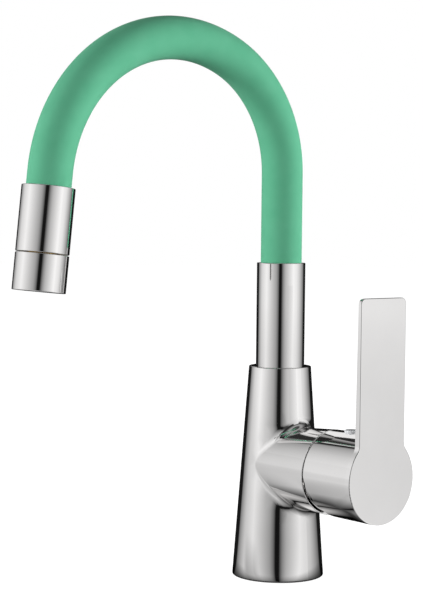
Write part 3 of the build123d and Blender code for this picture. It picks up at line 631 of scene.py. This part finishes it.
for slot_name, (dark, light, roughness, metallic, noise_scale) in inner_finishes.items():
    tree, shader = new_finish(slot_name + "_finish")
    mottle = grain(tree, noise_scale)
    tint(tree, mottle, shader.inputs["Base Color"], dark, light)
    drive(tree, mottle, shader.inputs["Roughness"], *roughness)
    texture_height(tree, mottle, shader, 0.02 * mm, 0.2)
    shader.inputs["Metallic"].default_value = metallic
    finishes[slot_name] = bpy.data.materials[slot_name + "_finish"]
print("finishes", len(finishes))

# %% Finishes on the frame's nodes
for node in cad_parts.values():
    for material_slot in node.material_slots:
        material_slot.material = finishes[material_slot.material.name.split(".")[0]]
print("nodes with a finish", len(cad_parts))

# %% [markdown]
# ## Silicone sheath and water hose
#
# The sheath is one tube that stands straight, bends over in two arcs and enters the head, and the
# water hose runs inside it along the same line. A tube could be a bevelled curve, but these have to
# bend at nine hinges, and each hinge may only reach its own stretch. So a ring is drawn out stretch
# by stretch, straight with extrude and round with spin, about the same two centres as the real
# bend. Only the lowest stretch is hung on a body, the spout's base.

# %% Route of the hoses
sleeve_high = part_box("column_sleeve")[1]
sheath_low, sheath_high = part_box("hose_sheath")
water_low, water_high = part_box("water_hose")
sheath_wall = 1.9 * mm
water_wall = 1.95 * mm
rise_above_sleeve = 48.35 * mm
rise_top = sleeve_high.z + rise_above_sleeve
shoulder_radius = 66.7 * mm
shoulder_turn = radians(64)
crown_radius = 79.6 * mm
crown_turn = radians(109.8)
sheath_tail = 15 * mm
water_tail = 29.45 * mm

shoulder_length = shoulder_radius * shoulder_turn
crown_length = crown_radius * crown_turn
bend_length = shoulder_length + crown_length
shoulder_centre = Vector((0, -shoulder_radius, rise_top))
shoulder_end = shoulder_centre + shoulder_radius * Vector((0, cos(shoulder_turn), sin(shoulder_turn)))
crown_centre = shoulder_end - crown_radius * Vector((0, cos(shoulder_turn), sin(shoulder_turn)))


def route_turn(run):
    """How far the sheath has turned over, a run past the top of its straight rise."""
    shoulder = min(max(run, 0), shoulder_length) / shoulder_radius
    return shoulder + min(max(run - shoulder_length, 0), crown_length) / crown_radius


def route_direction(run):
    """Direction of the sheath at a run."""
    return Vector((0, -sin(route_turn(run)), cos(route_turn(run))))


def route_point(run):
    """Point on the middle line of the sheath at a run."""
    turn = route_turn(run)
    outward = Vector((0, cos(turn), sin(turn)))
    if run <= 0:
        return Vector((0, 0, rise_top + run))
    if run <= shoulder_length:
        return shoulder_centre + shoulder_radius * outward
    tail = max(run - bend_length, 0)
    return crown_centre + crown_radius * outward + tail * route_direction(run)


print("sheath bends over", round(bend_length / mm), "mm")

# %% Ways of working


def start_fresh():
    """Nothing selected, and back in object mode."""
    if bpy.context.object and bpy.context.object.mode != "OBJECT":
        bpy.ops.object.mode_set(mode="OBJECT")
    bpy.ops.object.select_all(action="DESELECT")


def apply_modifier(piece, kind, **settings):
    """Adds a modifier, sets it and applies it."""
    modifier = piece.modifiers.new(kind.lower(), kind)
    for name, value in settings.items():
        setattr(modifier, name, value)
    bpy.ops.object.select_all(action="DESELECT")
    piece.select_set(True)
    bpy.context.view_layer.objects.active = piece
    bpy.ops.object.modifier_apply(modifier=modifier.name)


def clean_shell(piece):
    """Closes the seam, turns all faces outwards and leaves edit mode."""
    bpy.ops.mesh.select_all(action="SELECT")
    bpy.ops.mesh.remove_doubles(threshold=0.01 * mm)
    bpy.ops.mesh.normals_make_consistent(inside=False)
    bpy.ops.object.mode_set(mode="OBJECT")


def dress(piece, slot_name, *nodes):
    """Gives the piece its finish and lets it stand for the frame's nodes."""
    piece.data.materials.clear()
    piece.data.materials.append(finishes[slot_name])
    if nodes:
        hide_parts(*nodes)


# %% Hose stretch
ring_step = 1.0 * mm


def hose_stretch(name, slot_name, radius, wall, ring_points, start, end):
    """Closed tube along the route between two runs."""
    start_fresh()
    bpy.ops.mesh.primitive_circle_add(
        vertices=ring_points,
        radius=radius,
        location=route_point(start),
        rotation=(route_turn(start), 0, 0),
    )
    stretch = bpy.context.object
    stretch.name = name
    bpy.ops.object.transform_apply()
    bpy.ops.object.mode_set(mode="EDIT")
    bpy.ops.mesh.select_all(action="SELECT")
    for low, high, centre, bend_radius in (
        (min(start, 0), 0, None, 0),
        (0, shoulder_length, shoulder_centre, shoulder_radius),
        (shoulder_length, bend_length, crown_centre, crown_radius),
        (bend_length, end, None, 0),
    ):
        length = min(end, high) - max(start, low)
        if length <= 0:
            continue
        steps = ceil(length / ring_step)
        if centre:
            bpy.ops.mesh.spin(steps=steps, angle=-length / bend_radius, center=centre, axis=(1, 0, 0))
            continue
        move = route_direction(high) * (length / steps)
        for _ in range(steps):
            bpy.ops.mesh.extrude_region_move(TRANSFORM_OT_translate={"value": move})
    clean_shell(stretch)
    apply_modifier(stretch, "SOLIDIFY", thickness=wall, offset=-1, use_rim=True)
    bpy.ops.object.shade_smooth_by_angle(angle=radians(40))
    dress(stretch, slot_name)
    return stretch


# %% Hoses along their hinges
lean_gap = 12 * mm
lean_above_sleeve = 9.95 * mm
head_reach = 7 * mm
bend_count = 6
lean_count = 3
first_lean = sleeve_high.z + lean_above_sleeve - lean_gap / 2
bend_gap = (bend_length + head_reach) / bend_count
middles = [first_lean + lean_gap * index - rise_top for index in range(lean_count + 1)]
middles += [bend_gap * index for index in range(1, bend_count)]
hinge_bodies = ["spout_base"] + [f"lean_{index}" for index in range(1, lean_count + 1)]
hinge_bodies += [f"arch_{index}" for index in range(1, bend_count)] + ["head"]


def bending_hose(label, slot_name, radius, wall, ring_points, first_run, tail, node):
    """Tube in stretches that end at the hinges; only the first is hung on the spout's base."""
    ends = [first_run, *middles, bend_length + tail]
    tube = (slot_name, radius, wall, ring_points)
    root_stretch = hose_stretch(f"{label}_root", *tube, ends[0], ends[1])
    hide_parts(node)
    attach(root_stretch, "spout_base")
    # A stretch ends at the same runs in every tube
    for index in range(1, len(ends) - 1):
        stretch = hose_stretch(f"{label}_{hinge_bodies[index]}", *tube, ends[index], ends[index + 1])
        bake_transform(stretch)
    print(label, "in", len(ends) - 1, "stretches")


sheath_points = 72
water_points = 32
bending_hose(
    "sheath",
    "green_silicone",
    sheath_high.x,
    sheath_wall,
    sheath_points,
    sheath_low.z - rise_top,
    sheath_tail,
    "hose_sheath",
)
bending_hose(
    "water",
    "hose_rubber",
    water_high.x,
    water_wall,
    water_points,
    water_low.z - rise_top,
    water_tail,
    "water_hose",
)
